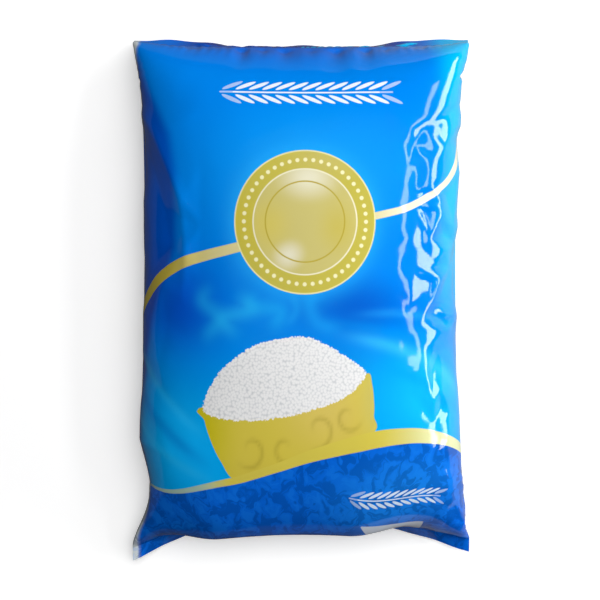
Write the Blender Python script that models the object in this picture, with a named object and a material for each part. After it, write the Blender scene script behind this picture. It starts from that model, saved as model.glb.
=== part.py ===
"""Full, shut pillow bag of rice lying on its back, +Y towards the top of the bag, resting on z = 0.

One closed body: a tube of film filled to a pillow, drawn flat at both ends into seal fins whose
corners stand out as ears. Every point comes from the sizes and the short lists below.
"""

import math

import bmesh
import bpy

# ---------------------------------------------------------------- sizes, in metres

LENGTH = 0.3905          # seal to seal at the ears, measured on the lying bag
HALF_WIDTH = 0.1205     # half the width of the filled body
CROWN = 0.092           # greatest height of the filled body
EDGE_HEIGHT = 0.036     # height of the widest line of the sides
FLARE_BOTTOM = 0.0130   # how far each bottom ear stands out past the side
FLARE_TOP = 0.0095      # the same for the top ears
SAG_BOTTOM = 0.0185      # how far the middle of the bottom seal is drawn in behind its ears
SAG_TOP = 0.0035         # the same for the top seal
DROOP_LEFT = 0.0070      # the bottom left ear hangs this much further out than the right one
SEAL_BOTTOM_Z = 0.0115  # height of the bottom seal line in the middle
SEAL_TOP_Z = 0.0225     # height of the top seal line in the middle
EAR_BOTTOM_Z = 0.0120   # height of the bottom ears
EAR_TOP_Z = 0.0170      # height of the top ears
FIN = 0.010             # free width of each seal fin
FIN_THICK = 0.0010      # thickness of the fins, a stand-in for two layers of film

ACROSS = 32             # cells over the front, and as many over the back
ALONG = 54              # cells from seal to seal
FIN_ROWS = 2            # cells over the width of a fin

# Furrows pinched into the front by the top seal: distance from the middle, length, depth.
TOP_FURROWS = (
    (-0.070, 0.030, 0.0012),
    (-0.044, 0.046, 0.0024),
    (-0.012, 0.040, 0.0020),
    (0.028, 0.050, 0.0026),
    (0.052, 0.044, 0.0022),
    (0.080, 0.034, 0.0016),
)
# The same for the bottom seal, where the film is drawn in more and hangs straight down.
BOTTOM_FURROWS = (
    (-0.078, 0.026, 0.0014),
    (-0.036, 0.030, 0.0016),
    (0.010, 0.026, 0.0012),
    (0.048, 0.032, 0.0018),
    (0.088, 0.028, 0.0014),
)
FURROW_WIDTH = 0.0085

# Ridges and dents of the film, each from one point to another on the plan of the bag:
# start x, start y, end x, end y, height above the pillow (below it if negative), half width.
CREASES = (
    (-0.121, 0.178, -0.090, 0.115, 0.0030, 0.008),
    (-0.090, 0.115, -0.084, 0.060, 0.0016, 0.009),
    (0.123, 0.178, 0.099, 0.112, 0.0032, 0.008),
    (0.099, 0.112, 0.104, 0.020, 0.0018, 0.008),
    (0.083, 0.128, 0.108, 0.090, -0.0028, 0.008),
    (0.090, 0.088, 0.118, 0.060, -0.0026, 0.008),
    (0.086, 0.050, 0.118, 0.028, -0.0024, 0.008),
    (0.114, 0.010, 0.104, -0.030, -0.0020, 0.009),
    (-0.112, 0.086, -0.104, 0.030, -0.0022, 0.010),
    (-0.122, -0.060, -0.098, -0.100, -0.0024, 0.010),
    (-0.124, -0.168, -0.094, -0.128, 0.0024, 0.009),
    (0.124, -0.168, 0.096, -0.124, 0.0024, 0.009),
)


# ---------------------------------------------------------------- the pillow

def ease(value):
    """Smooth step from 0 to 1."""
    value = min(1.0, max(0.0, value))
    return value * value * (3.0 - 2.0 * value)


def mix(first, second, share):
    """Straight blend from first to second."""
    return first + (second - first) * share


def ring_point(angle, power):
    """Point of a rounded square of half side 1 seen under an angle, power 2 being a circle."""
    cosine = abs(math.cos(angle))
    sine = abs(math.sin(angle))
    reach = (cosine ** power + sine ** power) ** (-1.0 / power)
    return reach * math.cos(angle), reach * math.sin(angle)


def half_width(along):
    """Half width of the bag, along running from -1 at the bottom seal to 1 at the top seal."""
    if along < 0.0:
        flare = FLARE_BOTTOM
    else:
        flare = FLARE_TOP
    return HALF_WIDTH + flare * abs(along) ** 4.6


def edge_height(along):
    """Height of the side edge of the film."""
    if along < 0.0:
        ear = EAR_BOTTOM_Z
    else:
        ear = EAR_TOP_Z
    return mix(EDGE_HEIGHT, ear, abs(along) ** 6.0)


def seal_height(along):
    """Height of the middle of the seal at the end the row belongs to."""
    if along < 0.0:
        return SEAL_BOTTOM_Z
    return SEAL_TOP_Z


def front_height(along):
    """Height of the front film over the middle of the bag."""
    rise = 1.0 - abs(along) ** 2.65
    return mix(seal_height(along), CROWN, rise)


def back_height(along):
    """Height of the back film under the middle of the bag, flat on the floor but at the ends."""
    return seal_height(along) * ease((abs(along) - 0.85) / 0.15)


def edge_place(along, side):
    """Distance of a row from the middle of the bag, along its side edge."""
    place = 0.5 * LENGTH * along
    if along < 0.0 and side < 0.0:
        place -= DROOP_LEFT * ease((-along - 0.7) / 0.3)
    return place


def middle_place(along, reach, hardness):
    """The same in the middle of the bag, where a row is drawn in as it comes to its seal."""
    if along < 0.0:
        sag = SAG_BOTTOM
    else:
        sag = SAG_TOP
    seal = 0.5 * LENGTH - sag
    straight = reach * abs(along)
    pulled = (reach - seal) * abs(along) ** hardness
    return math.copysign(straight - pulled, along)


def crease_height(x, y):
    """Sum of the ridges and dents of the film at a place on the plan."""
    total = 0.0
    for x0, y0, x1, y1, height, width in CREASES:
        run = (x1 - x0, y1 - y0)
        size = run[0] ** 2 + run[1] ** 2
        share = ((x - x0) * run[0] + (y - y0) * run[1]) / size
        share = min(1.0, max(0.0, share))
        gap = math.hypot(x - x0 - run[0] * share, y - y0 - run[1] * share)
        total += height * math.exp(-((gap / width) ** 2))
    return total


def furrow_depth(x, distance, furrows):
    """Depth pinched into the front at a distance from a seal."""
    total = 0.0
    for middle, length, depth in furrows:
        narrow = math.exp(-(((x - middle) / FURROW_WIDTH) ** 2))
        start = ease(distance / 0.008)
        fade = 1.0 - ease(distance / length)
        total += depth * narrow * start * fade
    return total


def body_point(along, step):
    """Point of the pillow: step counts around from the left edge, over the front and back again."""
    angle = math.pi * (1.0 - step / ACROSS)
    front = step <= ACROSS
    if front:
        power = 2.0 + 1.5 * abs(along) ** 3
    else:
        power = 4.5
    across, rise = ring_point(angle, power)
    side = math.copysign(1.0, across)
    if abs(across) < 1e-9:
        side = 0.0
    width = half_width(along)
    edge = edge_height(along)
    inward = 1.0 - abs(across) ** 2.2
    x = width * across
    if front:
        middle = middle_place(along, 0.5 * LENGTH + 0.012, 6.0)
        z = mix(edge, front_height(along), rise)
    else:
        middle = middle_place(along, 0.5 * LENGTH + 0.004, 12.0)
        floor = back_height(along)
        drop = edge - floor
        z = max(floor, edge + 1.06 * drop * rise)
    y = mix(edge_place(along, side), middle, inward)
    if front:
        body = ease((1.0 - abs(along)) / 0.10)
        z += crease_height(x, y) * body * ease(rise / 0.25)
        near_end = 0.5 * LENGTH * (1.0 - abs(along))
        if along < 0.0:
            z -= furrow_depth(x, near_end, BOTTOM_FURROWS)
        else:
            z -= furrow_depth(x, near_end, TOP_FURROWS)
    return x, y, z


# ---------------------------------------------------------------- the seal fins

def fin_lean(across, end):
    """Angle a fin hangs below the level: steep in the middle, nearly level at the ears."""
    outward = abs(across) ** 2.0
    if end < 0.0:
        return math.radians(mix(86.0, 16.0, outward))
    return math.radians(mix(78.0, 50.0, outward))


def fin_point(end, step, out):
    """Point of a fin, out metres past its seal line, on its front or its back face."""
    angle = math.pi * (1.0 - step / ACROSS)
    across = math.cos(angle)
    side = math.copysign(1.0, across)
    if abs(across) < 1e-9:
        side = 0.0
    outward = abs(across) ** 2.2
    sag = SAG_BOTTOM
    ear = EAR_BOTTOM_Z
    middle_z = SEAL_BOTTOM_Z
    if end > 0.0:
        sag = SAG_TOP
        ear = EAR_TOP_Z
        middle_z = SEAL_TOP_Z
    seal_y = mix(end * (0.5 * LENGTH - sag), edge_place(end, side), outward)
    seal_z = mix(middle_z, ear, outward)
    lean = fin_lean(across, end)
    y = seal_y + end * out * math.cos(lean)
    z = seal_z - out * math.sin(lean)
    wave = 0.0006 * math.sin(across * 17.0 + end) * (out / FIN)
    half = 0.5 * FIN_THICK
    at_edge = step == 0 or step == ACROSS
    if at_edge:
        half = 0.0
    elif step > ACROSS:
        half = -half
    y += end * (half + wave) * math.sin(lean)
    z += (half + wave) * math.cos(lean)
    return half_width(end) * across, y, max(z, 0.0002)


# ---------------------------------------------------------------- the mesh

def row_places():
    """Places of the rows along the body, closer together towards the seals."""
    places = []
    for index in range(1, ALONG):
        even = 2.0 * index / ALONG - 1.0
        bunched = math.sin(0.5 * math.pi * even)
        places.append(mix(even, bunched, 0.55))
    return places


def all_rows():
    """Every ring of points, from the outer edge of the bottom fin to that of the top fin."""
    around = range(2 * ACROSS)
    rows = []
    for index in range(FIN_ROWS, -1, -1):
        out = FIN * index / FIN_ROWS
        rows.append([fin_point(-1.0, step, out) for step in around])
    for along in row_places():
        rows.append([body_point(along, step) for step in around])
    for index in range(FIN_ROWS + 1):
        out = FIN * index / FIN_ROWS
        rows.append([fin_point(1.0, step, out) for step in around])
    return rows


def centred(rows):
    """The same rings with the middle of their plan over the origin."""
    xs = [point[0] for row in rows for point in row]
    ys = [point[1] for row in rows for point in row]
    middle_x = 0.5 * (min(xs) + max(xs))
    middle_y = 0.5 * (min(ys) + max(ys))
    return [[(x - middle_x, y - middle_y, z) for x, y, z in row] for row in rows]


def build_sack():
    """Make the sack as one closed body."""
    mesh = bpy.data.meshes.new("rice_sack")
    shape = bmesh.new()
    around = 2 * ACROSS
    rings = []
    for row in centred(all_rows()):
        rings.append([shape.verts.new(point) for point in row])
    for lower, upper in zip(rings[:-1], rings[1:]):
        for step in range(around):
            after = (step + 1) % around
            shape.faces.new((lower[step], lower[after], upper[after], upper[step]))
    for ring in (rings[0], rings[-1]):
        for step in range(1, ACROSS - 1):
            mirror = around - step
            shape.faces.new((ring[step], ring[step + 1], ring[mirror - 1], ring[mirror]))
        shape.faces.new((ring[0], ring[1], ring[around - 1]))
        shape.faces.new((ring[ACROSS - 1], ring[ACROSS], ring[ACROSS + 1]))
    bmesh.ops.recalc_face_normals(shape, faces=shape.faces)
    shape.to_mesh(mesh)
    shape.free()
    mesh.shade_smooth()
    mesh.set_sharp_from_angle(angle=math.radians(50.0))
    return mesh


def film_material():
    """Printed glossy film."""
    material = bpy.data.materials.new("printed_film")
    material.use_nodes = True
    surface = material.node_tree.nodes["Principled BSDF"]
    surface.inputs["Base Color"].default_value = (0.0, 0.18, 0.75, 1.0)
    surface.inputs["Roughness"].default_value = 0.22
    return material


for thing in list(bpy.data.objects):
    bpy.data.objects.remove(thing)

sack = bpy.data.objects.new("rice_sack", build_sack())
sack.data.materials.append(film_material())
bpy.context.scene.collection.objects.link(sack)
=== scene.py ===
"""A full pillow bag of rice in printed glossy film, lying on its back on a pale floor."""

import math

import bpy
import numpy as np
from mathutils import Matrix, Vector
from mathutils.geometry import delaunay_2d_cdt


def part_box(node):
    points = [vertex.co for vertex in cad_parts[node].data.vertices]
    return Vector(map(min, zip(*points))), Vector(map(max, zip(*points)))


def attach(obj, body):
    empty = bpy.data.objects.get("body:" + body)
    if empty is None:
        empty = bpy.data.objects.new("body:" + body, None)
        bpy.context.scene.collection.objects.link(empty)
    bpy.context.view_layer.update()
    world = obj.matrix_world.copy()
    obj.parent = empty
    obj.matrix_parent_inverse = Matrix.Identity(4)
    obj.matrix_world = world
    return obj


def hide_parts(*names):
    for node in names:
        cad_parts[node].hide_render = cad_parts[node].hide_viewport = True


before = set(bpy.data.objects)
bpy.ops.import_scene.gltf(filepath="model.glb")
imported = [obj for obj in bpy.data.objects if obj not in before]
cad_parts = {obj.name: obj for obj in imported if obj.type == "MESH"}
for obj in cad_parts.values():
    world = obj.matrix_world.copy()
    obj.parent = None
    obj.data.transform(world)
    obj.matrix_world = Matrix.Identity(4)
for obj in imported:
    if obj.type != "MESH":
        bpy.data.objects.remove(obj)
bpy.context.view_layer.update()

# ------------------------------------------------------------ the filled tube
# The sack is one tube of laminated film, printed, filled with rice and sealed flat at both ends.
# Its shape is found as the real one finds it: the film can't stretch, the rice presses it outwards,
# more so low down, and the floor flattens the back. It starts coarse and is made finer in steps.

LAY_FLAT = 0.282                # width of the empty tube pressed flat
SEAL_TO_SEAL = 0.415            # length of the tube between its two seals
RICE = 0.00588                  # volume of the rice in cubic metres
FIRST_CELLS = (18, 26)          # cells of film across one side and along it, at the coarsest
SETTLING = (1200, 600, 300, 130)    # steps of settling at each fineness, the last being the finest

BOTTOM_SEAL = {"drawn_in": 0.0185, "middle_z": 0.0105, "ear_z": 0.0120,
               "left_droop": 0.007, "gathered": 0.957}
TOP_SEAL = {"drawn_in": 0.0032, "middle_z": 0.0225, "ear_z": 0.0170,
            "left_droop": -0.001, "gathered": 0.935}


def flat_tube(cells):
    """A slightly blown-up tube: rows go along +Y, columns go around, over the front first."""
    across, along = cells
    column = np.arange(2 * across)
    step = LAY_FLAT / across
    x = np.where(column <= across, -LAY_FLAT / 2 + column * step,
                 LAY_FLAT / 2 - (column - across) * step)
    y = np.linspace(-SEAL_TO_SEAL / 2, SEAL_TO_SEAL / 2, along + 1)
    plan_x, plan_y = np.meshgrid(x, y)
    swell = np.cos(np.pi * plan_x / LAY_FLAT).clip(0) ** 0.6
    swell = swell * np.cos(np.pi * plan_y / SEAL_TO_SEAL).clip(0) ** 0.4
    side = np.where(column < across, 1.0, -1.0)
    side[0] = 0.0
    side[across] = 0.0
    z = 0.03 + 0.028 * swell * side[None]
    return np.stack([plan_x, plan_y, z], -1).astype(np.float32)


def twice_as_fine(film):
    """The same film with a new row and a new column between every two, on smooth curves."""
    rows, columns = film.shape[:2]
    after = np.roll(film, -1, 1)
    between = (9 * (film + after) - np.roll(film, 1, 1) - np.roll(film, -2, 1)) / 16
    wide = np.zeros((rows, 2 * columns, 3), np.float32)
    wide[:, 0::2] = film
    wide[:, 1::2] = between
    middle = 0.5 * (wide[1:] + wide[:-1])
    middle[1:-1] = (9 * (wide[1:-2] + wide[2:-1]) - wide[:-3] - wide[3:]) / 16
    fine = np.zeros((2 * rows - 1, 2 * columns, 3), np.float32)
    fine[0::2] = wide
    fine[1::2] = middle
    return fine


def along_film(film):
    """Difference from row to row, central but at the two ends."""
    run = np.empty_like(film)
    run[1:-1] = 0.5 * (film[2:] - film[:-2])
    run[0] = 0.5 * (film[1] - film[0])
    run[-1] = 0.5 * (film[-1] - film[-2])
    return run


def outward(film):
    """Outward area of the film at each point, as a vector."""
    around = 0.5 * (np.roll(film, -1, 1) - np.roll(film, 1, 1))
    return np.cross(around, along_film(film))


def hold(first, second, length, stretch, squeeze):
    """Bring pairs of points back to their distance: firmly if too far, softly if too near."""
    gap = second - first
    size = np.sqrt((gap * gap).sum(-1))
    excess = size - length
    share = np.where(excess > 0, stretch, squeeze)
    pull = (0.5 * share * excess / np.maximum(size, 1e-9))[..., None] * gap
    first += pull
    second -= pull


def hold_film(film, cell, turn):
    """One round of keeping the film's threads, diagonals and stiffness."""
    wide, long = cell
    slant = math.hypot(wide, long)
    for start in ((0, 1) if turn % 2 == 0 else (1, 0)):
        first = film[start:-1:2]
        second = film[start + 1::2]
        pairs = min(len(first), len(second))
        hold(first[:pairs], second[:pairs], long, 1.0, 0.3)
    hold(film[:, 0::2], film[:, 1::2], wide, 1.0, 0.3)
    turned = np.roll(film, -1, 1)
    hold(turned[:, 0::2], turned[:, 1::2], wide, 1.0, 0.3)
    film[:] = np.roll(turned, 1, 1)
    for start in (0, 1):
        first = film[start::2]
        second = film[start + 1::2]
        pairs = min(len(first), len(second))
        first = first[:pairs]
        second = second[:pairs]
        for way in (-1, 1):
            turned = np.roll(second, way, 1)
            hold(first, turned, slant, 0.8, 0.3)
            second[:] = np.roll(turned, -way, 1)
    for start in range(4):
        first = film[start:-2:4]
        second = film[start + 2::4]
        pairs = min(len(first), len(second))
        hold(first[:pairs], second[:pairs], 2 * long, 0.0, 0.05)
        turned = np.roll(film, -start, 1)
        first = turned[:, 0::4]
        second = turned[:, 2::4]
        pairs = min(first.shape[1], second.shape[1])
        hold(first[:, :pairs], second[:, :pairs], 2 * wide, 0.0, 0.05)
        film[:] = np.roll(turned, start, 1)


def seal_line(across, seal):
    """Curve of a seal on the plan: its middle drawn in between the ears, its length kept."""
    place = np.linspace(-1, 1, across + 1)
    half = 0.5 * LAY_FLAT
    droop = seal["left_droop"] * np.clip((-place - 0.55) / 0.45, 0, 1) ** 1.5
    y = -seal["drawn_in"] * (1 - np.abs(place) ** 1.8) + droop
    z = seal["middle_z"] + (seal["ear_z"] - seal["middle_z"]) * np.abs(place) ** 3
    for _ in range(6):
        x = place * half
        length = np.sqrt(np.diff(x) ** 2 + np.diff(y) ** 2 + np.diff(z) ** 2).sum()
        half *= LAY_FLAT * seal["gathered"] / length
    x = place * half
    steps = np.sqrt(np.diff(x) ** 2 + np.diff(y) ** 2 + np.diff(z) ** 2)
    run = np.concatenate([[0], np.cumsum(steps)])
    even = np.linspace(0, run[-1], across + 1)
    return np.interp(even, run, x), np.interp(even, run, y), np.interp(even, run, z)


def press_seals(film, lines):
    """Keep both ends pressed shut on their lines, free only to slide along the bag."""
    across = film.shape[1] // 2
    for row, (x, y, z), end in ((0, lines[0], -1), (-1, lines[1], 1)):
        seal = 0.5 * (film[row, :across + 1]
                      + np.concatenate([film[row, :1], film[row, :across - 1:-1]]))
        slide = (seal[:, 1] * end - y).mean()
        wanted = np.stack([x, (slide + y) * end, z], -1)
        seal = 0.5 * seal + 0.5 * wanted
        film[row, :across + 1] = seal
        film[row, across + 1:] = seal[1:across][::-1]


def settle(film, steps, press):
    """Let the film move under the rice until it lies still. Returns it and the rice's press."""
    across = film.shape[1] // 2
    along = film.shape[0] - 1
    cell = (LAY_FLAT / across, SEAL_TO_SEAL / along)
    lines = (seal_line(across, BOTTOM_SEAL), seal_line(across, TOP_SEAL))
    speed = np.zeros_like(film)
    for turn in range(steps):
        area = outward(film)
        volume = float((film * area).sum() / 3)
        missing = RICE / max(volume, 1e-5) - 1.0
        press = min(max(press + 0.02 * missing, 0.05), 20.0)
        height = film[..., 2]
        push = press + 2.0 * missing + (0.04 - height) / 0.04
        force = area / (cell[0] * cell[1]) * push[..., None] * cell[0] * 0.001
        speed = 0.95 * speed + force.astype(np.float32)
        before = film.copy()
        film = film + speed
        hold_film(film, cell, turn)
        press_seals(film, lines)
        np.maximum(film[..., 2], 0.0, out=film[..., 2])
        speed = film - before
    return film, press


film = flat_tube(FIRST_CELLS)
rice_press = 0.5
for fineness, steps in enumerate(SETTLING):
    if fineness:
        film = twice_as_fine(film)
    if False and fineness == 3:
        steps = 20
    film, rice_press = settle(film, steps, rice_press)
film = film.astype(float)
ACROSS = film.shape[1] // 2
ALONG = film.shape[0] - 1


# ------------------------------------------------------------ creases and flats
# Film that has been carried and laid down keeps its creases. Rice lying behind it holds it in
# small flats that meet in sharp ridges down the sides, and the seals gather it into short furrows.

def film_normals(film):
    """Outward direction of the film at each point."""
    area = outward(film)
    return area / np.maximum(np.linalg.norm(area, axis=-1, keepdims=True), 1e-12)


def ease(value):
    """Smooth step from 0 to 1."""
    value = np.clip(value, 0.0, 1.0)
    return value * value * (3.0 - 2.0 * value)


def gap_to_line(x, y, points):
    """Distance on the plan from each place to a bent line, and the share of the line passed."""
    best = np.full(np.shape(x), 1e9)
    passed = np.zeros(np.shape(x))
    total = sum(math.dist(a, b) for a, b in zip(points[:-1], points[1:]))
    run = 0.0
    for (x0, y0), (x1, y1) in zip(points[:-1], points[1:]):
        size = math.dist((x0, y0), (x1, y1))
        share = ((x - x0) * (x1 - x0) + (y - y0) * (y1 - y0)) / size ** 2
        share = np.clip(share, 0.0, 1.0)
        gap = np.hypot(x - x0 - share * (x1 - x0), y - y0 - share * (y1 - y0))
        nearer = gap < best
        passed = np.where(nearer, (run + share * size) / total, passed)
        best = np.where(nearer, gap, best)
        run += size
    return best, passed


# Peaks and pits of the crushed film on the plan: x, y and height above the smooth film, in mm.
# The film is flat from each to the next, and folds sharply where two flats meet.
RIGHT_PEAKS = (
    (104, 176, -0.5), (95, 156, -0.5), (124, 168, -0.6), (88, 138, -0.3), (87, 125, -0.3),
    (95, 123, -0.8), (93, 108, -1.5), (111, 121, 0.0), (91, 97, -0.5), (110, 92, -1.4),
    (121, 112, 0.8), (120, 84, -0.6), (115, 66, -0.8), (90, 46, -0.5), (108, 48, -1.0),
    (119, 30, 1.0), (105, 33, 0.6), (114, 6, -0.6), (104, 2, -0.5), (98, -16, -0.4),
    (117, -20, 0.4), (94, -40, -0.5), (108, -38, -0.8), (104, -62, -0.5),
    (99, -78, 0.5), (108, -84, -0.6), (116, -104, 0.8), (104, -112, -0.4), (114, -122, -1.0),
    (110, -146, 0.7), (121, -160, -0.8), (104, -168, 0.6), (128, -190, -0.4), (108, -188, -0.4),
    (82, 171, 1.0), (86, 160, -0.9), (92, 170, -0.8), (97, 179, 0.7), (99, 163, 1.0),
    (90, 150, 0.5), (76, 160, 0.0), (82, 144, -0.3), (78, 128, 0.15),
    (70, 118, -0.1), (79, 106, -0.25), (74, 94, 0.2), (82, 88, 0.2), (77, 78, -0.3), (70, 82, 0.1),
    (72, 66, 0.2), (79, 58, -0.2), (83, 48, 0.3), (76, 44, -0.2), (70, 50, 0.1), (82, 36, -0.2),
    (77, 28, 0.3), (84, 18, 0.2), (72, 20, -0.1), (79, 8, -0.2), (86, -2, 0.2), (80, -12, 0.2),
    (74, -4, 0.1), (84, -28, -0.2), (90, -28, 0.2), (78, -34, 0.1), (86, -52, 0.2), (92, -60, -0.2),
)
# Folds that run from one point to the next on the right side, in the same three numbers.
RIGHT_FOLDS = (
    ((130, 200, 0.6), (117, 176, 2.2), (108, 157, 1.8), (100, 148, 1.8), (96, 137, 1.6),
     (98, 126, 1.4), (105, 118, 2.0), (104.5, 111, 2.2), (104.5, 104, 2.0), (97.5, 88, 0.6),
     (91.5, 84.5, -0.6)),
    ((108, 157, 1.8), (119, 140, 2.2), (114.5, 98, 1.8)),
    ((98, 131, 1.5), (119, 140, 2.2)),
    ((104.5, 111, 2.2), (87.5, 113, -0.6), (97.5, 88, 0.6), (109, 80, 1.6), (99, 69, -1.0),
     (104.5, 59, 2.0), (97.5, 38, 0.8), (100, 33.5, -1.0), (114, 42, -1.0), (113, 29, 1.4),
     (100, 33.5, -1.0)),
    ((104.5, 59, 2.0), (86, 64, -0.7), (99, 54, -0.7)),
    ((97.5, 38, 0.8), (91.5, 27, 0.8), (90.5, 23, 0.4), (110.5, 25, -1.2)),
    ((90.5, 23, 0.4), (91.5, 5.5, 0.8), (94.5, -7.5, 0.8), (100, -34.5, 1.2), (101.5, -50, -0.8)),
    ((90.5, 23, 0.4), (100.5, 13, 1.0), (109, 19, 1.4)),
    ((100, -34.5, 1.2), (104.5, -27, 1.2), (113, -47.5, 1.0), (112, -68, 0.8)),
)
LEFT_PEAKS = (
    (-126, 190, -0.5), (-108, 166, 1.9), (-120, 160, -1.0), (-99, 142, 1.4), (-112, 138, -1.6),
    (-89, 116, 1.9), (-104, 112, -1.2), (-119, 116, 0.8), (-86, 80, 1.2), (-100, 84, -1.3),
    (-113, 88, 0.8), (-90, 44, 0.8), (-105, 54, 0.9), (-116, 60, -0.8), (-102, 24, -0.9),
    (-114, 26, 0.8), (-94, 4, 0.5), (-108, -6, 0.8), (-117, -16, -0.8), (-98, -36, -0.6),
    (-112, -46, 0.9), (-118, -76, -0.7), (-100, -78, 0.6), (-110, -104, 0.8), (-98, -118, -0.5),
    (-117, -130, -0.8), (-104, -146, 0.8), (-120, -164, 0.6), (-108, -176, -0.7), (-130, -188, -0.4),
)


def crumpled(x, y, peaks, folds, calm_x):
    """Height of the crushed film over places on the plan, calm along a line at calm_x."""
    outer = math.copysign(150, calm_x)
    rim = [(calm_x, level, 0.0) for level in range(-210, 221, 22)]
    rim += [(outer, level, 0.0) for level in range(-220, 221, 40)]
    points = list(dict.fromkeys([*peaks, *rim, *(point for fold in folds for point in fold)]))
    joined = [(points.index(a), points.index(b)) for fold in folds
              for a, b in zip(fold[:-1], fold[1:])]
    flat = [Vector((a / 1000, b / 1000)) for a, b, _ in points]
    corners, _, triangles, sources, *_ = delaunay_2d_cdt(flat, joined, [], 0, 1e-6)
    height = []
    for corner, source in zip(corners, sources):
        nearest = source or [min(range(len(flat)), key=lambda n: (flat[n] - corner).length)]
        height.append(points[nearest[0]][2] / 1000)
    total = np.zeros(x.shape)
    for first, second, third in triangles:
        ax, ay = corners[first]
        bx, by = corners[second]
        cx, cy = corners[third]
        whole = (bx - ax) * (cy - ay) - (cx - ax) * (by - ay)
        if abs(whole) < 1e-10:
            continue
        to_second = ((x - ax) * (cy - ay) - (cx - ax) * (y - ay)) / whole
        to_third = ((bx - ax) * (y - ay) - (x - ax) * (by - ay)) / whole
        within_it = (to_second >= 0) & (to_third >= 0) & (to_second + to_third <= 1)
        level = (height[first] + (height[second] - height[first]) * to_second
                 + (height[third] - height[first]) * to_third)
        total = np.where(within_it, level, total)
    return total


# Ridges (above 0) and grooves (below 0): height and half width in mm, then the line on the plan.
CREASES = (
    (1.6, 4.5, ((-127, 196), (-110, 166), (-90, 118), (-86, 72), (-90, 30))),
    (2.0, 5.0, ((-136, -196), (-112, -180), (-92, -182))),
    (2.0, 5.0, ((136, -196), (110, -182), (84, -184))),
    (-1.2, 4.0, ((116, -116), (124, -132))),
)

# Furrows that run from a seal into the front: distance from the middle, length, depth, in mm.
TOP_FURROWS = (
    (-84, 30, 1.4), (-46, 46, 3.6), (-30, 30, 1.8), (-12, 44, 3.2), (8, 30, 1.4),
    (27, 50, 3.8), (50, 46, 3.4), (66, 30, 1.8), (92, 28, 1.4),
)
BOTTOM_FURROWS = (
    (-96, 26, 1.2), (-70, 24, 1.4), (-38, 28, 1.6), (-8, 22, 1.0), (18, 26, 1.4),
    (46, 28, 1.6), (74, 24, 1.3), (98, 22, 1.0),
)


def press_creases(film, normals):
    """Raise the ridges and sink the grooves and the furrows, along the film's own facing."""
    front = film[:, :ACROSS + 1]
    x = front[..., 0]
    y = front[..., 1]
    shift = (1.4 * crumpled(x, y, RIGHT_PEAKS, RIGHT_FOLDS, 64)
             + crumpled(x, y, LEFT_PEAKS, (), -76))
    for axis in (0, 1):
        shift = 0.12 * np.roll(shift, 1, axis) + 0.76 * shift + 0.12 * np.roll(shift, -1, axis)
    for height, width, line in CREASES:
        gap, passed = gap_to_line(x, y, [(a / 1000, b / 1000) for a, b in line])
        taper = ease(passed / 0.12) * ease((1.0 - passed) / 0.25)
        shift += height / 1000 * taper * np.exp(-(gap / (width / 1000)) ** 1.3)
    for furrows, distance in ((BOTTOM_FURROWS, print_y + SEAL_TO_SEAL / 2),
                              (TOP_FURROWS, SEAL_TO_SEAL / 2 - print_y)):
        distance = distance[:, None]
        for middle, length, depth in furrows:
            drift = 1.0 + 0.25 * math.sin(middle)
            narrow = np.exp(-((x - middle / 1000) / (0.0048 * drift + 0.10 * distance)) ** 2)
            fade = ease(distance / 0.007) * (1.0 - ease(distance * 1000 / length))
            shift -= depth / 1000 * narrow * fade
    shift *= ease(np.minimum(print_y + SEAL_TO_SEAL / 2, SEAL_TO_SEAL / 2 - print_y) / 0.010)[:, None]
    front += shift[..., None] * normals[:, :ACROSS + 1]
    return film


BELLY = 0.0185              # how far the sack hangs out over its bottom seal
BELLY_FROM_SEAL = 0.030     # and how far up the film from the seal it does so most


def sag_over_seal(film):
    """Push the lower end out over its seal, which ends up tucked in under it."""
    distance = (np.arange(ALONG + 1) * SEAL_TO_SEAL / ALONG)[:, None]
    column = np.arange(2 * ACROSS)
    place = np.where(column <= ACROSS, column, 2 * ACROSS - column) / ACROSS * 2.0 - 1.0
    share = 1.0 - ease((np.abs(place + 0.10) - 0.38) / 0.5)
    rise = ease(distance / BELLY_FROM_SEAL)
    fall = 1.0 - ease((distance - BELLY_FROM_SEAL) / 0.110)
    front = (column <= ACROSS)
    film[..., 1] -= BELLY * share * rise * fall * np.where(front, 1.0, 0.55)
    drop = 0.005 * share * (1.0 - ease(distance / 0.020))
    film[..., 2] -= drop
    return film


def slim_ears(film):
    """Draw the film in beside each ear, where the corner folds down to the width of the body."""
    for row, drop, run in ((0, (0.015, 0.009), (0.028, 0.045)), (-1, (0.008, 0.008), (0.040, 0.040))):
        distance = np.arange(ALONG + 1) * SEAL_TO_SEAL / ALONG
        if row == -1:
            distance = distance[::-1]
        for side in (0, 1):
            facing = film[..., 0] * (2 * side - 1)
            reach = facing.max(axis=1)
            limit = reach[row] - drop[side] * (1 - np.exp(-(distance / run[side]) ** 2))
            limit += 0.25 * np.maximum(distance - 0.055, 0.0)
            squeeze = np.minimum(1.0, limit / reach)[:, None]
            film[..., 0] = np.where(facing > 0, film[..., 0] * squeeze, film[..., 0])
    return film


def rough_field(shape, cells, seed):
    """Smooth random unevenness between about -1 and 1, its bumps some cells of film apart."""
    field = np.random.default_rng(seed).standard_normal(shape)
    for _ in range(3):
        for axis in (0, 1):
            field = sum(np.roll(field, turn, axis) for turn in range(-cells, cells + 1))
    return field / (2.5 * field.std())


LUMPS = ((0.00016, 3, 11), (0.00005, 1, 12))     # height of bumps, half size in cells, seed


def press_lumps(film, normals):
    """Let the rice behind the film show as a faint unevenness."""
    for height, cells, seed in LUMPS:
        film = film + (height * rough_field(film.shape[:2], cells, seed))[..., None] * normals
    return film


# Place on the printed film of every column and row, from the middle of the front.
print_x = -LAY_FLAT / 2 + np.arange(ACROSS + 1) * LAY_FLAT / ACROSS
print_y = np.linspace(-SEAL_TO_SEAL / 2, SEAL_TO_SEAL / 2, ALONG + 1)

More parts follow.
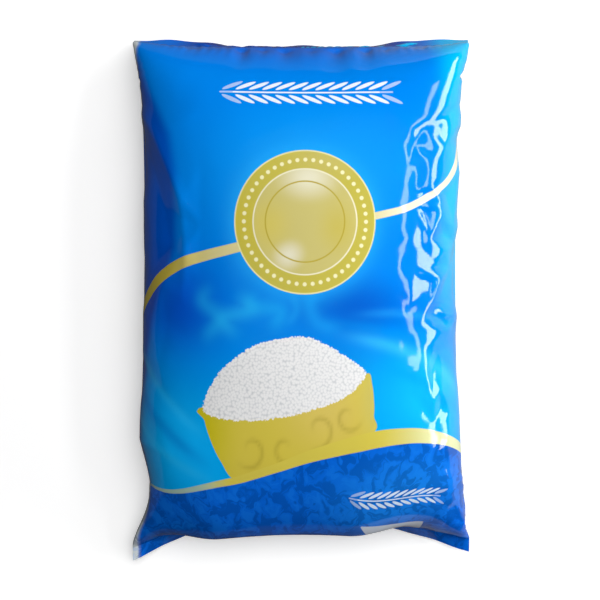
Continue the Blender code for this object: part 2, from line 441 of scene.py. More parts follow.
film = sag_over_seal(film)
film = slim_ears(film)
film = press_creases(film, film_normals(film))
film = press_lumps(film, film_normals(film))
film[..., 2] = np.maximum(film[..., 2], 0.0)

# ------------------------------------------------------------ seal fins and the whole skin
# Past each seal the two layers of film run on as a welded fin, ribbed by the hot jaws. It stands
# out flat at the ears, and in the middle it hangs from the seal down the end of the sack.

FIN_WIDTH = 0.0100
FIN_RIBS = 8
RIB_HEIGHT = 0.00016
FIN_HALF_THICKNESS = 0.00018
FIN_ROWS = 16


def fin_rows(film, end):
    """Rows of both layers of a fin, from the seal outwards. end is -1 at the bottom, 1 at the top."""
    seal = film[0 if end < 0 else -1]
    column = np.arange(2 * ACROSS)
    place = np.where(column <= ACROSS, column, 2 * ACROSS - column) / ACROSS * 2.0 - 1.0
    layer = np.where(column <= ACROSS, 1.0, -1.0)
    layer[0] = 0.0
    layer[ACROSS] = 0.0
    steep, level = (92.0, 14.0) if end < 0 else (80.0, 52.0)
    lean = np.radians(steep + (level - steep) * np.abs(place) ** 1.4)
    rows = []
    for index in range(1, FIN_ROWS + 1):
        out = FIN_WIDTH * index / FIN_ROWS
        rib = RIB_HEIGHT * math.sin(2 * math.pi * FIN_RIBS * index / FIN_ROWS)
        wave = 0.0011 * np.sin(place * 9.0 + 1.7 * end) * (out / FIN_WIDTH) ** 1.5
        wave += 0.0005 * np.sin(place * 23.0 + end) * (out / FIN_WIDTH)
        lift = wave + rib + FIN_HALF_THICKNESS * layer
        row = seal.copy()
        row[:, 1] += end * (out * np.cos(lean) + lift * np.sin(lean))
        row[:, 2] += lift * np.cos(lean) - out * np.sin(lean)
        row[:, 2] = np.maximum(row[:, 2], 0.0004)
        rows.append(row)
    return rows


def sit_in_frame(skin):
    """Centre the skin over the solid's place and bring it to the solid's length and height."""
    low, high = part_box("rice_sack")
    for axis in range(3):
        near = skin[..., axis].min()
        far = skin[..., axis].max()
        stretch = (high[axis] - low[axis]) / (far - near)
        skin[..., axis] = low[axis] + (skin[..., axis] - near) * stretch
    return skin


skin = np.concatenate([np.stack(fin_rows(film, -1.0)[::-1]), film, np.stack(fin_rows(film, 1.0))])
skin = sit_in_frame(skin)
fin_steps = np.arange(1, FIN_ROWS + 1) * FIN_WIDTH / FIN_ROWS
print_y = np.concatenate([print_y[0] - fin_steps[::-1], print_y, print_y[-1] + fin_steps])

# The skin's columns counted from the back seam, once around and back to it.
BACK_SEAM = 3 * ACROSS // 2
columns = (BACK_SEAM + np.arange(2 * ACROSS + 1)) % (2 * ACROSS)
around_x = -LAY_FLAT + np.arange(2 * ACROSS + 1) * LAY_FLAT / ACROSS


def skin_mesh(name, skin):
    """One closed mesh of the skin, the ends of the fins shut by a strip of film's edge."""
    rows = skin.shape[0]
    numbers = np.arange(rows * 2 * ACROSS).reshape(rows, 2 * ACROSS)
    wide = numbers[:, columns]
    faces = np.stack([wide[:-1, :-1], wide[:-1, 1:], wide[1:, 1:], wide[1:, :-1]], -1)
    faces = faces.reshape(-1, 4).tolist()
    for row, flip in ((numbers[0], False), (numbers[-1], True)):
        for step in range(ACROSS):
            mirror = (2 * ACROSS - step) % (2 * ACROSS)
            face = [row[step], row[step + 1], row[2 * ACROSS - step - 1], row[mirror]]
            if step == 0:
                face = face[:3]
            if step == ACROSS - 1:
                face = [face[0], face[1], face[3]]
            face = [int(corner) for corner in face]
            faces.append(face[::-1] if flip else face)
    mesh = bpy.data.meshes.new(name)
    mesh.from_pydata(skin.reshape(-1, 3).tolist(), [], faces)
    mesh.shade_smooth()
    mesh.set_sharp_from_angle(angle=math.radians(60.0))
    return mesh


sack_mesh = skin_mesh("sack_film", skin)
sack = bpy.data.objects.new("sack_film", sack_mesh)
bpy.context.scene.collection.objects.link(sack)
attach(sack, "root")
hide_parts("rice_sack")

# ------------------------------------------------------------ printed design
# The front is printed with a blue ground, a gold seal, two gold ribbons and a bowl heaped with
# rice over a darker damask foot. Outlines are lines on the film in mm from the middle of the front;
# the skin carries its distance from each, so the shader can cut a clean printed edge.

place_x, place_y = np.meshgrid(around_x * 1000, print_y * 1000)

SEAL_MIDDLE = (3.8, 48.4)
SEAL_RADIUS = 52.0
SEAL_INNER_RADIUS = 37.5
BEADS = 48
BEAD_RADIUS = 44.8

UPPER_RIBBON = ((-165, -40), (-148, -24), (-131, -8.5), (-111, 7.4), (-85.5, 19.6), (-48, 29.3),
                (3, 41), (57, 53.1), (83, 60.4), (109, 75), (126, 92.5), (160, 146))
UPPER_RIBBON_HALF = (5.5, 5.0, 4.2, 4.4, 4.0, 3.6, 3.0, 2.6, 2.6, 2.6, 3.2, 3.6)
LOWER_RIBBON = ((-152, -157), (-141, -154), (-114, -149), (-77, -135.5), (-46, -129.6),
                (-15, -121.6), (13, -113.6), (52, -105.9), (80, -105.9), (102, -110.4),
                (124, -118.6), (170, -142))
LOWER_RIBBON_HALF = (0.8, 0.8, 1.3, 1.8, 2.4, 2.9, 4.0, 5.4, 5.4, 4.9, 3.8, 3.2)
BOWL = ((-71.3, -84.7), (-70.3, -93.5), (-65.5, -106), (-58.5, -118), (-47.5, -130), (-10, -122),
        (52, -102.5), (55, -90), (55, -79.5), (53.6, -68.5), (50.5, -60.2), (36, -68), (0, -76))
HEAP = ((-71.3, -84.7), (-66, -71.7), (-58.3, -59.8), (-48, -50.5), (-37.5, -42.8), (-24, -37.4),
        (-9, -34.6), (4, -33.9), (13, -36.4), (22.4, -41), (36, -49.5), (48, -58.7),
        (46.5, -65.5), (33.5, -77.2), (9.4, -85.5), (-14.7, -90.7), (-41, -92.9), (-64.5, -90.3))
DATE_PATCH = ((47.6, -166.5), (99.4, -182), (97, -208), (60, -196))


def smooth_curve(points, closed, pieces=10):
    """Points along a smooth curve through the given ones."""
    points = np.array(points, float)
    if closed:
        run = np.concatenate([points[-1:], points, points[:2]])
    else:
        run = np.concatenate([2 * points[:1] - points[1:2], points, 2 * points[-1:] - points[-2:-1]])
    made = []
    for before, start, end, after in zip(run[:-3], run[1:-2], run[2:-1], run[3:]):
        for share in np.arange(pieces) / pieces:
            made.append(0.5 * (2 * start + (end - before) * share
                               + (2 * before - 5 * start + 4 * end - after) * share ** 2
                               + (3 * start - before - 3 * end + after) * share ** 3))
    if not closed:
        made.append(points[-1])
    return np.array(made)


def edge_distance(x, y, outline):
    """Distance in mm from a closed outline, below 0 inside it."""
    best = np.full(x.shape, 1e9)
    inside = np.zeros(x.shape, bool)
    for (x0, y0), (x1, y1) in zip(outline, np.roll(outline, -1, 0)):
        size = (x1 - x0) ** 2 + (y1 - y0) ** 2
        share = np.clip(((x - x0) * (x1 - x0) + (y - y0) * (y1 - y0)) / max(size, 1e-9), 0, 1)
        gap = (x - x0 - share * (x1 - x0)) ** 2 + (y - y0 - share * (y1 - y0)) ** 2
        best = np.minimum(best, gap)
        if y0 != y1:
            crossing = (y0 > y) != (y1 > y)
            inside ^= crossing & (x < (x1 - x0) * (y - y0) / (y1 - y0) + x0)
    return np.where(inside, -1, 1) * np.sqrt(best)


def ribbon_outline(middle, half):
    """Closed outline of a ribbon from its middle line and its half widths."""
    line = smooth_curve(middle, False)
    widths = smooth_curve([(width, 0.0) for width in half], False)[:, 0]
    run = np.gradient(line, axis=0)
    run /= np.linalg.norm(run, axis=1, keepdims=True)
    across = np.stack([-run[:, 1], run[:, 0]], 1) * widths[:, None]
    return np.concatenate([line + across, (line - across)[::-1]])


foot_line = smooth_curve(LOWER_RIBBON, False)
foot_outline = np.concatenate([foot_line, [(152, -260), (-150, -260)]])
distances = {
    "foot": edge_distance(place_x, place_y, foot_outline),
    "bowl": edge_distance(place_x, place_y, smooth_curve(BOWL, True)),
    "heap": edge_distance(place_x, place_y, smooth_curve(HEAP, True)),
    "lower_ribbon": edge_distance(place_x, place_y,
                                  ribbon_outline(LOWER_RIBBON, LOWER_RIBBON_HALF)),
    "upper_ribbon": edge_distance(place_x, place_y,
                                  ribbon_outline(UPPER_RIBBON, UPPER_RIBBON_HALF)),
    "date_patch": edge_distance(place_x, place_y, np.array(DATE_PATCH)),
}


def linear(colour):
    """Linear colour from an sRGB hex value such as "#0a84ec"."""
    parts = [int(colour[start:start + 2], 16) / 255 for start in (1, 3, 5)]
    return [part / 12.92 if part <= 0.04045 else ((part + 0.055) / 1.055) ** 2.4
            for part in parts] + [1.0]


def plain_ink(colour):
    """One ink all over the film."""
    return np.broadcast_to(np.array(linear(colour)), place_x.shape + (4,)).copy()


def lay_ink(ground, colour, share):
    """Lay an ink over the ground by a share from 0 to 1."""
    return ground + (np.array(linear(colour)) - ground) * share[..., None]


def soft_spot(x, y, radius_x, radius_y, turn=0.0):
    """Share of a soft round spot of ink, 1 in its middle."""
    cosine, sine = math.cos(math.radians(turn)), math.sin(math.radians(turn))
    along = (place_x - x) * cosine + (place_y - y) * sine
    over = (place_y - y) * cosine - (place_x - x) * sine
    return 1.0 - ease(np.hypot(along / radius_x, over / radius_y))


def soft_stroke(points, half, power=2.0):
    """Share of a soft brush stroke of ink along a line, fading to its ends."""
    line = [tuple(point) for point in smooth_curve(points, False, 6)]
    gap, passed = gap_to_line(place_x, place_y, line)
    return np.exp(-(gap / half) ** power) * ease(passed / 0.3) * ease((1.0 - passed) / 0.3)


# The ground is the blue print, with painted shade on the left side and painted light on the right laid into
# it.
ground = plain_ink("#0084ec")
ground = lay_ink(ground, "#0a9af6", soft_spot(10, 88, 125, 75))
ground = lay_ink(ground, "#0062e4", 0.85 * soft_spot(-20, 215, 190, 60))
ground = lay_ink(ground, "#0456d4", 0.95 * soft_spot(-92, -14, 62, 60))
ground = lay_ink(ground, "#0058ca", 0.85 * soft_spot(42, -12, 66, 32))
ground = lay_ink(ground, "#00a4f0", ease((-20 - place_y) / 95))
ground = lay_ink(ground, "#12bcff", 0.85 * soft_spot(98, -78, 90, 62))
ground = lay_ink(ground, "#10b6ff", 0.7 * soft_spot(-86, -112, 44, 50))
# Painted shade: the left side, where the film turns away from the windows, is inked darker outwards from a
# bent line.
painted_shade_edge = np.interp(place_y, (-80, -20, 30, 84, 115, 149, 200), (-128, -112, -90, -88, -94, -114, -137))
ground = lay_ink(ground, "#0038b4", 0.75 * ease((painted_shade_edge - place_x) / 12))
# Painted light: the window side is inked a lighter cyan where the windows light and mirror on it.
ground = lay_ink(ground, "#00c8f0", 0.65 * ease((place_x - 100) / 24) * ease((place_y + 60) / 90))
unprinted = (ease((-134.5 - place_x) / 2) * ease((place_x + 150) / 4)
             * ease((np.abs(place_y) - 140) / 12))
ground = lay_ink(ground, "#d4dcde", unprinted)
ground = lay_ink(ground, "#22aaf8", 0.55 * np.exp(-((np.hypot(
    place_x - SEAL_MIDDLE[0], place_y - SEAL_MIDDLE[1]) - SEAL_RADIUS) / 7.0).clip(0) ** 1.5))
for points, half, share, colour in (
        (((-150, -58), (-128, -84), (-100, -104), (-60, -125)), 4.5, 0.55, "#0078d2"),
        (((-146, -34), (-120, -66), (-88, -92), (-60, -108)), 3.5, 0.40, "#2cc0ff"),
        (((-150, -82), (-126, -108), (-96, -122), (-56, -134)), 3.5, 0.45, "#28bcfa"),
        (((10, -22), (60, -30), (104, -44), (146, -76)), 4.0, 0.45, "#0090ea"),
        (((20, -30), (70, -42), (110, -60), (146, -92)), 4.5, 0.50, "#40ccff"),
        (((30, -18), (80, -18), (120, -28), (150, -50)), 3.0, 0.35, "#28b0fa"),
        (((56, -56), (84, -64), (112, -82), (140, -100)), 4.0, 0.40, "#0098ee"),
        (((-62, 6), (-72, -8), (-60, -22), (-76, -42)), 6.0, 0.45, "#20b4f8"),
        (((-50, 0), (-36, -14), (-56, -22), (-40, -38)), 6.0, 0.50, "#28bcfc"),
        (((-32, 2), (-34, -12), (-14, -16), (-24, -34)), 6.0, 0.45, "#20b4f8"),
        (((-8, 0), (-2, -14), (-10, -28)), 3.0, 0.40, "#20a8f4"),
        (((22, -2), (8, -8), (14, -24), (36, -30)), 5.5, 0.45, "#1caaf8")):
    ground = lay_ink(ground, colour, share * soft_stroke(points, half))

# Painted shade: the top fin and the film just below its seal, which bend away from the light, are inked dark
# navy.
fin_painted_shade = (ease((place_y - SEAL_TO_SEAL * 500 + 1.5) / 3.0)
             * (1.0 - ease((np.abs(place_x) - 70) / 50)))
ground = lay_ink(ground, "#0034a0", fin_painted_shade)

foot = plain_ink("#0664d8")
# Over the foot's blue print: painted shade at the lower left and a painted highlight to the right, towards
# the windows.
foot = lay_ink(foot, "#0050a8", soft_spot(-90, -190, 70, 50))
foot = lay_ink(foot, "#1a86ea", 0.8 * soft_spot(80, -150, 90, 50))
foot = lay_ink(foot, "#d4dcde", unprinted)

bowl = plain_ink("#d4c24a")
bowl = lay_ink(bowl, "#c8bc10", 0.9 * soft_spot(-72, -100, 34, 60))
bowl = lay_ink(bowl, "#d8c260", soft_spot(20, -85, 52, 40))
bowl = lay_ink(bowl, "#ccc066", 0.8 * soft_spot(54, -78, 14, 40))

for x, y, reach, sweep, start in ((-36, -111, 13, 400, 200), (-10, -110, 11, -380, -20),
                                  (14, -98, 13, 400, 230), (36, -90, 11, -380, 0)):
    turn = np.radians(start + sweep * np.linspace(0, 1, 22))
    size = reach * np.linspace(1.0, 0.12, 22)
    scroll = np.stack([x + size * np.cos(turn), y + size * np.sin(turn)], 1)
    bowl = lay_ink(bowl, "#a08a30", 0.42 * soft_stroke(scroll, 1.5))

lower_ribbon = plain_ink("#d6c650")
lower_ribbon = lay_ink(lower_ribbon, "#a8c4b4", ease((-52 - place_x) / 30))
lower_ribbon = lay_ink(lower_ribbon, "#e2e8b8", ease((84 - np.abs(place_x - 140)) / 60) * 0.9)
upper_ribbon = plain_ink("#c8b43c")
upper_ribbon = lay_ink(upper_ribbon, "#dcd296", ease((place_x + 110) / 60))
upper_ribbon = lay_ink(upper_ribbon, "#ece8d0", ease((place_x - 40) / 50))

from_seal_x = place_x - SEAL_MIDDLE[0]
from_seal_y = place_y - SEAL_MIDDLE[1]
bearing = np.arctan2(from_seal_y, from_seal_x)
gold_ring = plain_ink("#c4b84e")
gold_ring = lay_ink(gold_ring, "#ccbc40", 0.7 * soft_spot(-48, 46, 34, 40))
gold_ring = lay_ink(gold_ring, "#c8bc6c", 0.8 * soft_spot(24, 96, 50, 24))
gold_disc = plain_ink("#cabf74")
gold_disc = lay_ink(gold_disc, "#e6e2c8", 0.95 * soft_spot(6, 80, 30, 22))
gold_disc = lay_ink(gold_disc, "#d2c25c", 0.8 * soft_spot(-24, 46, 24, 26))
gold_disc = lay_ink(gold_disc, "#e6e2cc", 0.9 * soft_spot(-8, 24, 16, 14, 30))
gold_disc = lay_ink(gold_disc, "#c8b850", 0.7 * soft_spot(28, 44, 20, 26))

inks = {"ground": ground, "foot_ink_and_painted_light": foot, "bowl_ink": bowl, "lower_ribbon_ink": lower_ribbon,
        "upper_ribbon_ink": upper_ribbon, "gold_ring": gold_ring, "gold_disc": gold_disc}


def at_corners(values):
    """Values on the rows and columns of the skin, one for each corner of each face."""
    whole = np.stack([values[:-1, :-1], values[:-1, 1:], values[1:, 1:], values[1:, :-1]], 2)
    whole = whole.reshape((-1,) + values.shape[2:])
    ends = len(sack_mesh.loops) - len(whole)
    return np.concatenate([whole, np.repeat(whole[:1], ends, 0)])


for name, values in distances.items():
    layer = sack_mesh.attributes.new(name, "FLOAT", "CORNER")
    layer.data.foreach_set("value", at_corners(values).astype(np.float32))
for name, values in inks.items():
    layer = sack_mesh.attributes.new(name, "FLOAT_COLOR", "CORNER")
    layer.data.foreach_set("color", at_corners(values).astype(np.float32).ravel())
places = np.stack([place_x, place_y, np.zeros(place_x.shape)], -1)
layer = sack_mesh.attributes.new("print_place", "FLOAT_VECTOR", "CORNER")
layer.data.foreach_set("vector", at_corners(places).astype(np.float32).ravel())

# The skin laid out flat, with three quarters of the width for the front and its two sides.
share_x = np.interp(around_x, (-LAY_FLAT, -0.165, 0.165, LAY_FLAT), (0.002, 0.125, 0.875, 0.998))
share_y = np.interp(print_y, (print_y[0], print_y[-1]), (0.002, 0.998))
flat_x, flat_y = np.meshgrid(share_x, share_y)
layout = sack_mesh.uv_layers.new(name="OFBake")
layout.data.foreach_set("uv", at_corners(np.stack([flat_x, flat_y], -1)).astype(np.float32).ravel())

# ------------------------------------------------------------ laminated film
# Reverse-printed and laminated film: the ink lies under a clear, glossy outer layer of polyester,
# so colour shows through a sharp shine.

def add_node(tree, kind, settings=None, **links):
    """Add a node. settings sets its properties; links sets or joins sockets by name or _number."""
    made = tree.nodes.new(kind)
    for name, value in (settings or {}).items():
        setattr(made, name, value)
    for name, value in links.items():
        if name.startswith("_"):
            socket = made.inputs[int(name[1:])]
        else:
            socket = made.inputs[name.replace("_", " ")]
        if isinstance(value, bpy.types.NodeSocket):
            tree.links.new(value, socket)
        else:
            socket.default_value = value
    return made


def new_material(name):
    """A material with a Principled shader. Returns it, its tree and the shader."""
    material = bpy.data.materials.new(name)
    material.use_nodes = True
    tree = material.node_tree
    return material, tree, tree.nodes["Principled BSDF"]


film_material, tree, shader = new_material("laminated_film_printed")
place = add_node(tree, "ShaderNodeAttribute", {"attribute_name": "print_place"}).outputs["Vector"]
ink = {name: add_node(tree, "ShaderNodeAttribute", {"attribute_name": name}).outputs["Color"]
       for name in inks}
gap = {name: add_node(tree, "ShaderNodeAttribute", {"attribute_name": name}).outputs["Fac"]
       for name in distances}

# Damask of the foot: leafy scrolls about 14 mm across, drawn by bending rings of ink.
bend = add_node(tree, "ShaderNodeTexNoise", {"noise_dimensions": "2D"},
                Vector=place, Scale=1 / 16.0, Detail=2.0)
bent = add_node(tree, "ShaderNodeVectorMath", {"operation": "MULTIPLY_ADD"},
                _0=bend.outputs["Color"], _1=(26.0, 26.0, 0.0), _2=place).outputs[0]
scrolls = add_node(tree, "ShaderNodeTexVoronoi", {"voronoi_dimensions": "2D", "feature": "SMOOTH_F1"},
                   Vector=bent, Scale=1 / 15.0, Smoothness=0.35, Randomness=0.8)
leaves = add_node(tree, "ShaderNodeTexNoise", {"noise_dimensions": "2D"},
                  Vector=bent, Scale=1 / 9.0, Detail=2.0, Roughness=0.55, Distortion=1.2)
scroll_mix = add_node(tree, "ShaderNodeMath", {"operation": "MULTIPLY_ADD"},
                      _0=scrolls.outputs["Distance"], _1=0.7, _2=leaves.outputs["Fac"]).outputs[0]
dark_leaf = add_node(tree, "ShaderNodeMapRange", {"interpolation_type": "SMOOTHSTEP"},
                     Value=scroll_mix, From_Min=0.74, From_Max=0.90).outputs[0]
light_leaf = add_node(tree, "ShaderNodeMapRange", {"interpolation_type": "SMOOTHSTEP"},
                      Value=scroll_mix, From_Min=0.70, From_Max=0.56).outputs[0]
dark_leaf = add_node(tree, "ShaderNodeMath", {"operation": "MULTIPLY"}, _0=dark_leaf, _1=0.40)
light_leaf = add_node(tree, "ShaderNodeMath", {"operation": "MULTIPLY"}, _0=light_leaf, _1=0.20)
foot_colour = add_node(tree, "ShaderNodeMix", {"data_type": "RGBA"}, _0=dark_leaf.outputs[0],
                       _6=ink["foot_ink_and_painted_light"], _7=linear("#003880")).outputs[2]
foot_colour = add_node(tree, "ShaderNodeMix", {"data_type": "RGBA"}, _0=light_leaf.outputs[0],
                       _6=foot_colour, _7=linear("#1c88ee")).outputs[2]

# Heap: grains about 2 mm long, so fine that they read as a sparkle of white and grey.
grains = add_node(tree, "ShaderNodeTexVoronoi", {"voronoi_dimensions": "2D"},
                  Vector=place, Scale=1 / 1.9, Randomness=1.0)
grain_tone = add_node(tree, "ShaderNodeValToRGB", Fac=grains.outputs["Distance"])
grain_tone.color_ramp.elements[0].position = 0.30
grain_tone.color_ramp.elements[0].color = linear("#f2f2f2")
grain_tone.color_ramp.elements[1].position = 0.95
grain_tone.color_ramp.elements[1].color = linear("#cdd0d3")
ragged = add_node(tree, "ShaderNodeMath", {"operation": "MULTIPLY_ADD"},
                  _0=grains.outputs["Distance"], _1=1.8, _2=gap["heap"]).outputs[0]

# Seal: a plain gold coin with a beaded rim.
from_middle = add_node(tree, "ShaderNodeVectorMath", {"operation": "DISTANCE"},
                       _0=place, _1=(SEAL_MIDDLE[0], SEAL_MIDDLE[1], 0.0)).outputs["Value"]
spoke = add_node(tree, "ShaderNodeVectorMath", {"operation": "SUBTRACT"},
                 _0=place, _1=(SEAL_MIDDLE[0], SEAL_MIDDLE[1], 0.0)).outputs[0]
spoke = add_node(tree, "ShaderNodeSeparateXYZ", _0=spoke)
turn = add_node(tree, "ShaderNodeMath", {"operation": "ARCTAN2"},
                _0=spoke.outputs[1], _1=spoke.outputs[0]).outputs[0]
turn = add_node(tree, "ShaderNodeMath", {"operation": "WRAP"},
                _0=turn, _1=math.pi / BEADS, _2=-math.pi / BEADS).outputs[0]
turn = add_node(tree, "ShaderNodeMath", {"operation": "MULTIPLY"}, _0=turn, _1=BEAD_RADIUS).outputs[0]
out = add_node(tree, "ShaderNodeMath", {"operation": "SUBTRACT"},
               _0=from_middle, _1=BEAD_RADIUS).outputs[0]
bead = add_node(tree, "ShaderNodeCombineXYZ", _0=turn, _1=out).outputs[0]
bead = add_node(tree, "ShaderNodeVectorMath", {"operation": "LENGTH"}, _0=bead).outputs["Value"]
inner = add_node(tree, "ShaderNodeMath", {"operation": "SUBTRACT"}, _0=from_middle, _1=29.0)
inner = add_node(tree, "ShaderNodeMath", {"operation": "ABSOLUTE"}, _0=inner.outputs[0]).outputs[0]


def rice_ear(tree, middle, half_length, size, lean):
    """Distance in mm from an ear of rice lying along the film: a stalk and two rows of grains."""
    local = add_node(tree, "ShaderNodeVectorMath", {"operation": "SUBTRACT"},
                     _0=place, _1=(*middle, 0.0)).outputs[0]
    local = add_node(tree, "ShaderNodeVectorRotate", {"rotation_type": "Z_AXIS"},
                     Vector=local, Angle=math.radians(-lean)).outputs[0]
    axes = add_node(tree, "ShaderNodeSeparateXYZ", _0=local)
    level = add_node(tree, "ShaderNodeMath", {"operation": "ABSOLUTE"}, _0=axes.outputs[1]).outputs[0]
    slanted = add_node(tree, "ShaderNodeMath", {"operation": "MULTIPLY_ADD"},
                       _0=level, _1=-0.8, _2=axes.outputs[0]).outputs[0]
    cell = add_node(tree, "ShaderNodeMath", {"operation": "WRAP"},
                    _0=slanted, _1=3.4 * size, _2=-3.4 * size).outputs[0]
    lifted = add_node(tree, "ShaderNodeMath", {"operation": "SUBTRACT"},
                      _0=level, _1=3.9 * size).outputs[0]
    grain = add_node(tree, "ShaderNodeCombineXYZ", _0=cell, _1=lifted).outputs[0]
    grain = add_node(tree, "ShaderNodeVectorRotate", {"rotation_type": "Z_AXIS"},
                     Vector=grain, Angle=math.radians(-33.0)).outputs[0]
    grain = add_node(tree, "ShaderNodeVectorMath", {"operation": "MULTIPLY"},
                     _0=grain, _1=(1.45 / 3.9, 1.0, 0.0)).outputs[0]
    grain = add_node(tree, "ShaderNodeVectorMath", {"operation": "LENGTH"}, _0=grain).outputs["Value"]
    seeds = add_node(tree, "ShaderNodeMath", {"operation": "SUBTRACT"},
                     _0=grain, _1=1.45 * size).outputs[0]
    stalk = add_node(tree, "ShaderNodeMath", {"operation": "SUBTRACT"},
                     _0=level, _1=0.45 * size).outputs[0]
    drawn = add_node(tree, "ShaderNodeMath", {"operation": "MINIMUM"}, _0=seeds, _1=stalk).outputs[0]
    run = add_node(tree, "ShaderNodeMath", {"operation": "SUBTRACT"}, _0=slanted, _1=cell).outputs[0]
    run = add_node(tree, "ShaderNodeMath", {"operation": "ABSOLUTE"}, _0=run).outputs[0]
    run = add_node(tree, "ShaderNodeMath", {"operation": "SUBTRACT"},
                   _0=run, _1=half_length).outputs[0]
    return add_node(tree, "ShaderNodeMath", {"operation": "MAXIMUM"}, _0=drawn, _1=run).outputs[0]


# Two ears of rice in white ink stand where a title and a weight would.
title_ear = rice_ear(tree, (4.0, 146.0), 61.2, 1.5, 0.0)
weight_ear = rice_ear(tree, (74.0, -150.0), 34.0, 1.0, -12.0)

# The inks in the order they are laid: colour, distance in mm, where it ends, half its blur.
layers = ((foot_colour, gap["foot"], 0.0, 0.35),
          (ink["bowl_ink"], gap["bowl"], 0.0, 0.35),
          (grain_tone.outputs["Color"], ragged, 0.9, 0.35),
          (ink["lower_ribbon_ink"], gap["lower_ribbon"], 0.0, 0.35),
          (ink["upper_ribbon_ink"], gap["upper_ribbon"], 0.0, 0.35),
          (linear("#e8e4a4"), from_middle, SEAL_RADIUS, 0.35),
          (ink["gold_ring"], from_middle, SEAL_RADIUS - 1.0, 0.35),
          (linear("#ece8c8"), from_middle, SEAL_INNER_RADIUS + 1.0, 0.35),
          (ink["gold_disc"], from_middle, SEAL_INNER_RADIUS, 0.35),
          (linear("#f0ecb8"), bead, 1.5, 0.35),
          (linear("#b8a63e"), inner, 0.5, 0.35),
          (linear("#d2dae8"), gap["date_patch"], 0.0, 0.35),
          (linear("#e4f0fa"), title_ear, 0.0, 0.2),
          (linear("#d4e4f6"), weight_ear, 0.0, 0.2))
colour = ink["ground"]
for laid, distance, edge, blur in layers:
    share = add_node(tree, "ShaderNodeMapRange", {"interpolation_type": "SMOOTHSTEP"},
                     Value=distance, From_Min=edge - blur, From_Max=edge + blur,
                     To_Min=1.0, To_Max=0.0).outputs[0]
    colour = add_node(tree, "ShaderNodeMix", {"data_type": "RGBA"},
                      _0=share, _6=colour, _7=laid).outputs[2]

tree.links.new(colour, shader.inputs["Base Color"])
shader.inputs["Roughness"].default_value = 0.07
shader.inputs["IOR"].default_value = 1.5
sack_mesh.materials.append(film_material)

# ------------------------------------------------------------ floor, light and camera
# A matt white paper sheet under the sack, two long windows to its right, a soft light above it,
# and a camera straight above. In the film the sheet is mirrored in a painted colour, painted shade
# and painted light: dark grey, raised toward white only on the window side.

floor_mesh = bpy.data.meshes.new("floor")
floor_mesh.from_pydata([(-4, -4, -0.0005), (4, -4, -0.0005), (4, 4, -0.0005), (-4, 4, -0.0005)],
                       [], [(0, 1, 2, 3)])
floor = bpy.data.objects.new("floor", floor_mesh)
bpy.context.scene.collection.objects.link(floor)
floor_material, tree, shader = new_material("white_paper")
shader.inputs["Roughness"].default_value = 0.9
shader.inputs["Specular IOR Level"].default_value = 0.0
shader.inputs["Emission Color"].default_value = (1.0, 1.0, 1.0, 1.0)
rays = add_node(tree, "ShaderNodeLightPath")
# Painted shade and painted light in reflections: glossy rays see the paper dark grey, lighter toward +X.
mirrored = add_node(tree, "ShaderNodeMath", {"operation": "MAXIMUM"},
                    _0=rays.outputs["Is Glossy Ray"], _1=rays.outputs["Is Transmission Ray"])
where = add_node(tree, "ShaderNodeNewGeometry").outputs["Position"]
painted_window_light = add_node(tree, "ShaderNodeMapRange", {"interpolation_type": "SMOOTHSTEP"},
                       Value=add_node(tree, "ShaderNodeSeparateXYZ", _0=where).outputs[0],
                       From_Min=0.0, From_Max=0.25, To_Min=0.05, To_Max=0.75)
mirrored = add_node(tree, "ShaderNodeMath", {"operation": "MULTIPLY"},
                    _0=mirrored.outputs[0], _1=painted_window_light.outputs[0])
shown = add_node(tree, "ShaderNodeMath", {"operation": "ADD"},
                 _0=rays.outputs["Is Camera Ray"], _1=mirrored.outputs[0])
paper = add_node(tree, "ShaderNodeMix", {"data_type": "RGBA"}, _0=shown.outputs[0],
                 _6=linear("#5a5a5a"), _7=linear("#f6f6f6"))
tree.links.new(paper.outputs[2], shader.inputs["Base Color"])
lift = add_node(tree, "ShaderNodeMath", {"operation": "MULTIPLY"}, _0=rays.outputs["Is Camera Ray"], _1=0.30)
tree.links.new(lift.outputs[0], shader.inputs["Emission Strength"])
floor_mesh.materials.append(floor_material)


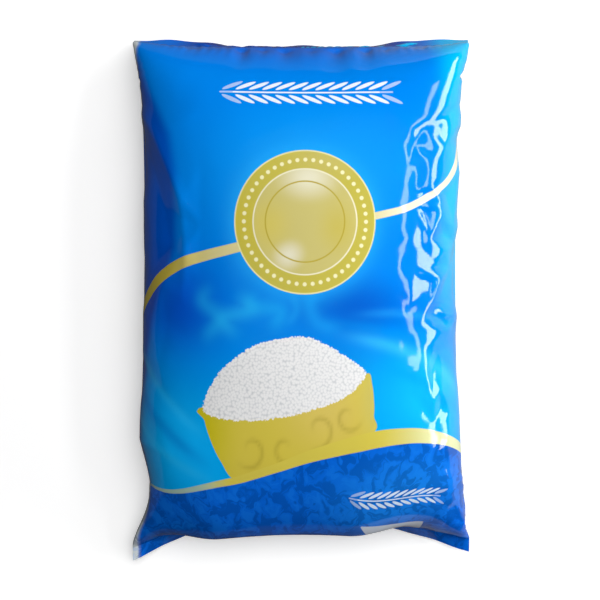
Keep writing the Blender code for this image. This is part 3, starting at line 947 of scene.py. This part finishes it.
def window(name, size, place, aim, power):
    """A soft rectangular light at a place, turned to an aim."""
    lamp = bpy.data.lights.new(name, "AREA")
    lamp.shape = "RECTANGLE"
    lamp.size, lamp.size_y = size
    lamp.energy = power
    holder = bpy.data.objects.new(name, lamp)
    holder.location = place
    direction = np.array(aim, float) - np.array(place, float)
    holder.rotation_euler = Vector(direction).to_track_quat("-Z", "Y").to_euler()
    bpy.context.scene.collection.objects.link(holder)
    return holder


window("side_window", (2.9, 0.26), (1.95, 1.0, 1.68), (0.0, 1.0, 0.05), 15.0)
window("low_window", (2.9, 0.52), (2.2, 1.0, 0.74), (0.0, 1.0, 0.05), 52.0)
ceiling = window("ceiling", (2.2, 2.4), (0.28, 0.3, 2.0), (0.0, 0.0, 0.05), 42.0)
ceiling.visible_glossy = False

world = bpy.data.worlds.new("studio")
bpy.context.scene.world = world
world.use_nodes = True
tree = world.node_tree
sky = tree.nodes["Background"]
bearing = add_node(tree, "ShaderNodeTexCoord").outputs["Generated"]
eastward = add_node(tree, "ShaderNodeSeparateXYZ", _0=bearing).outputs[0]
room_light = add_node(tree, "ShaderNodeMapRange", {"interpolation_type": "SMOOTHSTEP"},
                      Value=eastward, From_Min=-0.9, From_Max=1.0, To_Min=0.03, To_Max=0.24)
seen = add_node(tree, "ShaderNodeLightPath").outputs["Is Camera Ray"]
shown_light = add_node(tree, "ShaderNodeMath", {"operation": "MAXIMUM"},
                       _0=room_light.outputs[0], _1=seen)
tree.links.new(shown_light.outputs[0], sky.inputs["Strength"])

camera_data = bpy.data.cameras.new("camera")
camera = bpy.data.objects.new("camera", camera_data)
bpy.context.scene.collection.objects.link(camera)
CAMERA_HEIGHT = 1.42
VIEW_WIDTH = 0.480
camera_data.sensor_width = 36.0
camera_data.lens = 36.0 * CAMERA_HEIGHT / VIEW_WIDTH
camera.location = (-0.0008, 0.0, CAMERA_HEIGHT)
camera.rotation_euler = (0.0, 0.0, 0.0)
bpy.context.scene.camera = camera
bpy.context.scene.view_settings.view_transform = "Standard"
